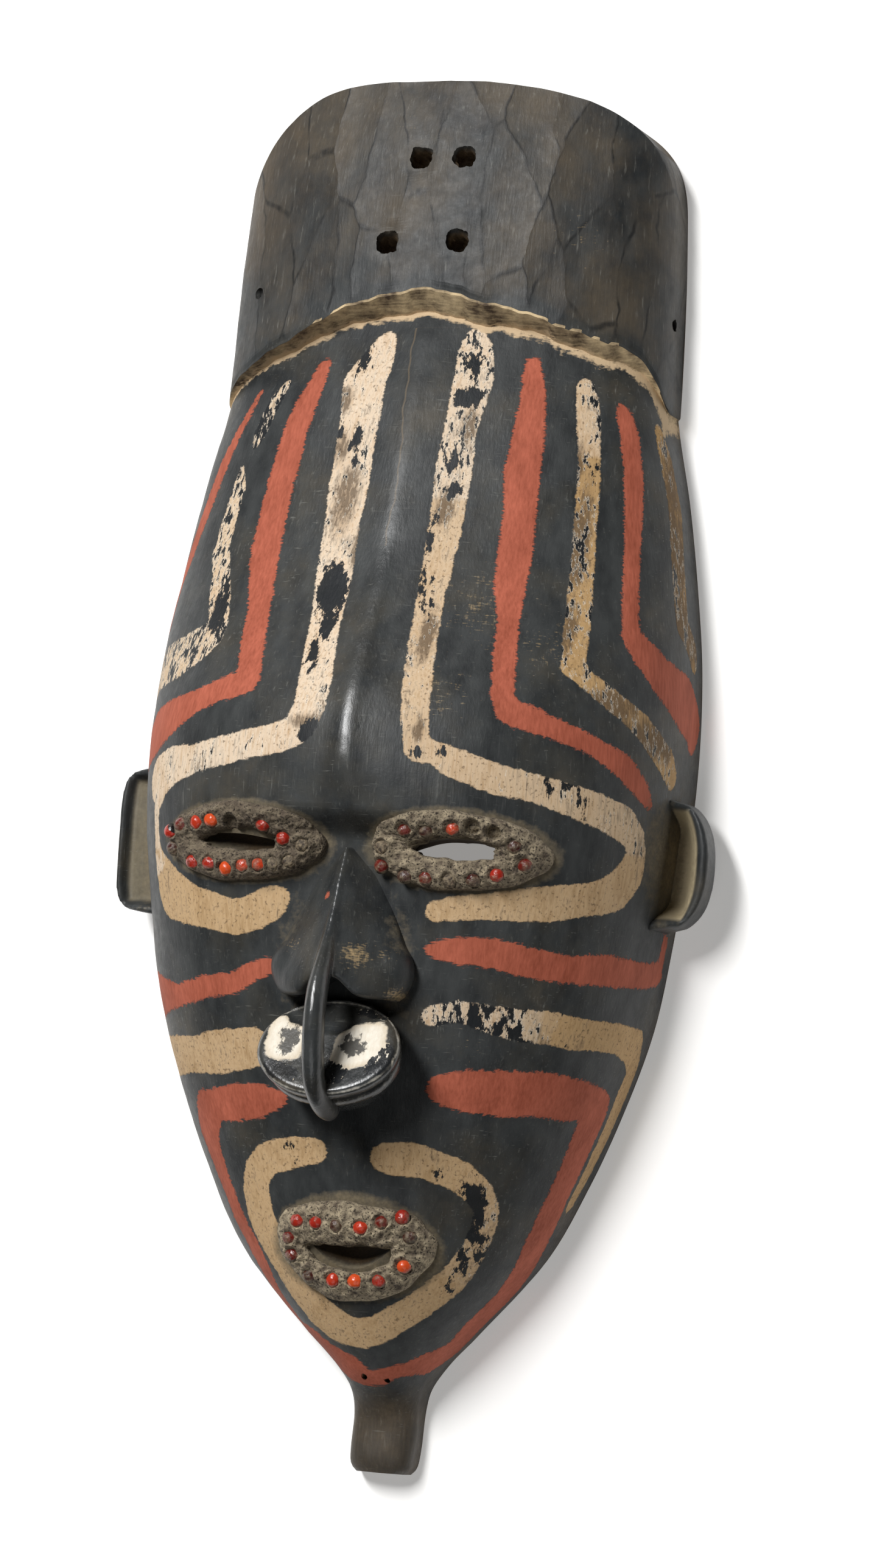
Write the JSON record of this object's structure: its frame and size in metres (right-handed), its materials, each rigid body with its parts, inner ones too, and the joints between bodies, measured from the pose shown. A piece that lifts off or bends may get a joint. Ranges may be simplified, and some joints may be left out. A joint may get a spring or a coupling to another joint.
{
  "type": "dance mask",
  "caption": "Carved wooden dance mask with a tall cap, a hooked nose over a ringed disc, ears, and putty rings set with seeds round eyes and mouth.",
  "frame": {"origin": "middle of the bounding box in X and Y, on the plane of the back rim", "axes": "+Y along the mask from the chin peg to the top of the cap, +Z out of the face, +X towards the ear at the right of the picture"},
  "size_m": [0.2052, 0.46, 0.108],
  "materials": {
    "carved_wood": "satin, painted blue-black with red and cream bands",
    "putty": "matte grey-brown earth putty",
    "seed": "glossy red seeds"
  },
  "bodies": {
    "root": {"mask_body": "carved_wood", "putty_eye_left": "putty", "putty_eye_right": "putty", "putty_mouth": "putty", "seed_eye_left_01": "seed", "seed_eye_left_02": "seed", "seed_eye_left_03": "seed", "seed_eye_left_04": "seed", "seed_eye_left_05": "seed", "seed_eye_left_06": "seed", "seed_eye_left_07": "seed", "seed_eye_left_08": "seed", "seed_eye_left_09": "seed", "seed_eye_left_10": "seed", "seed_eye_left_11": "seed", "seed_eye_left_12": "seed", "seed_eye_left_13": "seed", "seed_eye_left_14": "seed", "seed_eye_left_15": "seed", "seed_eye_right_01": "seed", "seed_eye_right_02": "seed", "seed_eye_right_03": "seed", "seed_eye_right_04": "seed", "seed_eye_right_05": "seed", "seed_eye_right_06": "seed", "seed_eye_right_07": "seed", "seed_eye_right_08": "seed", "seed_eye_right_09": "seed", "seed_eye_right_10": "seed", "seed_eye_right_11": "seed", "seed_eye_right_12": "seed", "seed_mouth_01": "seed", "seed_mouth_02": "seed", "seed_mouth_03": "seed", "seed_mouth_04": "seed", "seed_mouth_05": "seed", "seed_mouth_06": "seed", "seed_mouth_07": "seed", "seed_mouth_08": "seed", "seed_mouth_09": "seed", "seed_mouth_10": "seed", "seed_mouth_11": "seed", "seed_mouth_12": "seed", "seed_mouth_13": "seed", "seed_mouth_14": "seed"}
  },
  "joints": []
}
